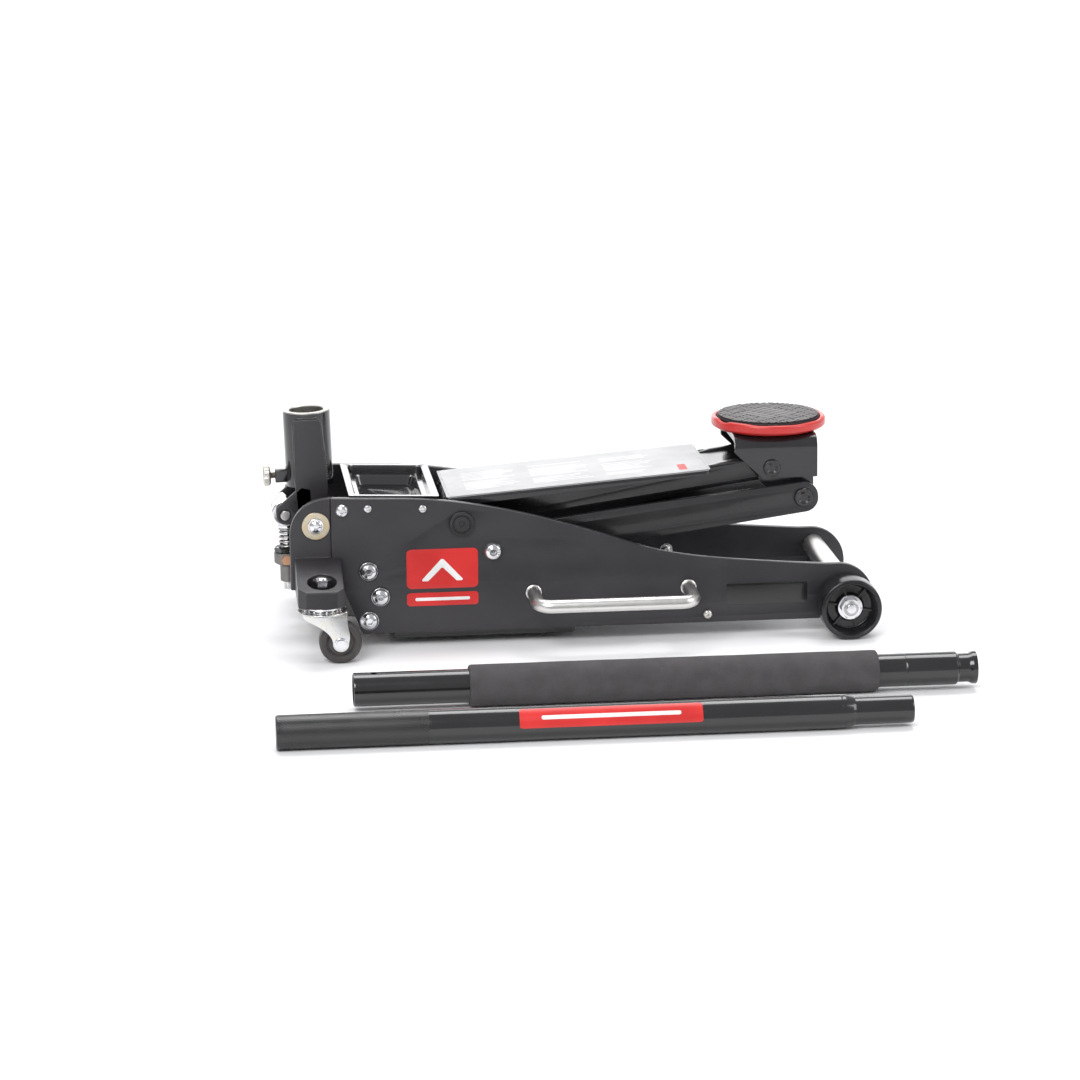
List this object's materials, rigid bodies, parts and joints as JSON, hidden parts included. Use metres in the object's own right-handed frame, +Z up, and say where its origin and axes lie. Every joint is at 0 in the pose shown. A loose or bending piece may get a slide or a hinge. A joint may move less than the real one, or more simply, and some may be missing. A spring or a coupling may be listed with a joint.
{
  "type": "hydraulic floor jack",
  "caption": "Low trolley jack with side plates, parallelogram lift arm, round padded saddle, tool tray, rear casters and a two-piece pump handle laid beside it.",
  "frame": {"origin": "bottom centre of the box round the jack and its handle halves, on the floor", "axes": "+X along the jack towards its front wheels and saddle, +Y to the side away from the handle halves, +Z up"},
  "size_m": [0.802, 0.714, 0.2729],
  "materials": {
    "plate_charcoal": "satin charcoal powder coat",
    "frame_black": "gloss black enamel",
    "tray_black": "gloss black enamel with a light flange",
    "cover_label": "satin light grey",
    "zinc": "bright zinc plate",
    "bolt_chrome": "bright chrome",
    "bare_steel": "machined steel",
    "cast_block": "painted casting",
    "satin_bar": "satin anodised",
    "saddle_red": "red enamel",
    "pad_rubber": "moulded black rubber",
    "wheel_black": "gloss black cast wheel",
    "caster_tread": "dark hard rubber",
    "tube_black": "gloss black enamel",
    "foam": "matt grey foam"
  },
  "bodies": {
    "frame": {"side_plate_right": "plate_charcoal", "side_plate_left": "plate_charcoal", "rear_casting_right": "plate_charcoal", "rear_casting_left": "plate_charcoal", "tool_tray": "tray_black", "bottom_pan": "frame_black", "front_cross_tube": "satin_bar", "front_axle": "bare_steel", "wheel_nut_right": "bolt_chrome", "wheel_nut_left": "bolt_chrome", "caster_kingpin_right": "zinc", "caster_kingpin_left": "zinc", "carry_handle_right": "satin_bar", "carry_handle_left": "satin_bar", "main_shaft": "frame_black", "link_bolt_right": "bolt_chrome", "link_bolt_left": "bolt_chrome", "valve_block": "cast_block", "ram_cylinder": "frame_black", "pump_gland": "frame_black", "socket_bolt_right": "zinc", "socket_bolt_left": "zinc", "plunger_spring": "zinc"},
    "lift_arm": {"lift_arm": "frame_black", "arm_cover": "cover_label"},
    "saddle_carrier": {"saddle_carrier": "frame_black", "arm_pin": "frame_black"},
    "lower_link": {"lower_link": "frame_black", "link_pin": "frame_black"},
    "saddle": {"saddle": "saddle_red", "saddle_pad": "pad_rubber", "saddle_ring": "zinc"},
    "ram": {"piston_rod": "bare_steel"},
    "handle_socket": {"handle_socket": "frame_black", "roller_pin": "zinc"},
    "pump_roller": {"pump_roller": "zinc"},
    "thumb_screw": {"thumb_screw": "zinc"},
    "pump_plunger": {"pump_plunger": "zinc"},
    "release_valve": {"release_valve": "zinc"},
    "front_wheel_right": {"front_wheel_right": "wheel_black"},
    "front_wheel_left": {"front_wheel_left": "wheel_black"},
    "caster_right": {"caster_fork_right": "zinc", "caster_axle_right": "zinc"},
    "caster_left": {"caster_fork_left": "zinc", "caster_axle_left": "zinc"},
    "caster_wheel_right": {"caster_wheel_right": "caster_tread"},
    "caster_wheel_left": {"caster_wheel_left": "caster_tread"},
    "handle_lower": {"handle_lower": "tube_black", "foam_sleeve": "foam"},
    "handle_upper": {"handle_upper": "tube_black"},
    "snap_button": {"snap_button": "zinc"}
  },
  "joints": [
    {"name": "arm_lift", "type": "hinge", "parent": "frame", "child": "lift_arm", "pos_m": [-0.16105, 0.17097, 0.149], "axis": [0, -1, 0], "range_deg": [-19.5, 41]},
    {"name": "carrier_level", "type": "hinge", "parent": "lift_arm", "child": "saddle_carrier", "pos_m": [0.21711, 0.17097, 0.19543], "axis": [0, -1, 0], "range_deg": [-42, 20.5]},
    {"name": "link_swing", "type": "hinge", "parent": "frame", "child": "lower_link", "pos_m": [-0.12405, 0.17097, 0.114], "axis": [0, -1, 0], "range_deg": [-20.5, 42]},
    {"name": "saddle_swivel", "type": "hinge", "parent": "saddle_carrier", "child": "saddle", "pos_m": [0.22211, 0.17097, 0.23493], "axis": [0, 0, 1], "continuous": true},
    {"name": "ram_stroke", "type": "slide", "parent": "frame", "child": "ram", "axis": [1, 0, 0], "range_m": [-0.022, 0.0455]},
    {"name": "handle_pump", "type": "hinge", "parent": "frame", "child": "handle_socket", "pos_m": [-0.33345, 0.17097, 0.1516], "axis": [0, -1, 0], "range_deg": [0, 45]},
    {"name": "roller_turn", "type": "hinge", "parent": "handle_socket", "child": "pump_roller", "pos_m": [-0.36601, 0.17097, 0.15001], "axis": [0, 1, 0], "continuous": true},
    {"name": "thumb_screw_turn", "type": "hinge", "parent": "handle_socket", "child": "thumb_screw", "pos_m": [-0.39071, 0.17097, 0.19187], "axis": [0.9995, 0, 0.0305], "continuous": true},
    {"name": "plunger_stroke", "type": "slide", "parent": "frame", "child": "pump_plunger", "axis": [0, 0, -1], "range_m": [0, 0.024], "deforming": ["plunger_spring"]},
    {"name": "release_turn", "type": "hinge", "parent": "frame", "child": "release_valve", "pos_m": [-0.36405, 0.20097, 0.052], "axis": [1, 0, 0], "range_deg": [0, 90]},
    {"name": "front_wheel_right_turn", "type": "hinge", "parent": "frame", "child": "front_wheel_right", "pos_m": [0.30095, 0.04697, 0.0374], "axis": [0, 1, 0], "continuous": true},
    {"name": "caster_right_swivel", "type": "hinge", "parent": "frame", "child": "caster_right", "pos_m": [-0.33005, 0.01497, 0.062], "axis": [0, 0, 1], "continuous": true},
    {"name": "caster_wheel_right_turn", "type": "hinge", "parent": "caster_right", "child": "caster_wheel_right", "pos_m": [-0.31005, 0.01497, 0.025], "axis": [0, 1, 0], "continuous": true},
    {"name": "front_wheel_left_turn", "type": "hinge", "parent": "frame", "child": "front_wheel_left", "pos_m": [0.30095, 0.29497, 0.0374], "axis": [0, 1, 0], "continuous": true},
    {"name": "caster_left_swivel", "type": "hinge", "parent": "frame", "child": "caster_left", "pos_m": [-0.33005, 0.32697, 0.062], "axis": [0, 0, 1], "continuous": true},
    {"name": "caster_wheel_left_turn", "type": "hinge", "parent": "caster_left", "child": "caster_wheel_left", "pos_m": [-0.31005, 0.32697, 0.025], "axis": [0, 1, 0], "continuous": true},
    {"name": "lower_half_lift", "type": "slide", "parent": "frame", "child": "handle_lower", "axis": [0, 0, 1], "range_m": [0, 0.25]},
    {"name": "upper_half_lift", "type": "slide", "parent": "frame", "child": "handle_upper", "axis": [0, 0, 1], "range_m": [0, 0.25]},
    {"name": "snap_button_press", "type": "slide", "parent": "handle_upper", "child": "snap_button", "axis": [0, -1, 0], "range_m": [0, 0.004], "stiffness_N_per_m": 400, "springref_m": -0.001}
  ],
  "couplings": [
    {"joint": "carrier_level", "follows": "arm_lift", "ratio": -1},
    {"joint": "link_swing", "follows": "arm_lift", "ratio": 1},
    {"joint": "ram_stroke", "follows": "arm_lift", "m_per_rad": 0.062},
    {"joint": "plunger_stroke", "follows": "handle_pump", "m_per_rad": 0.03}
  ]
}
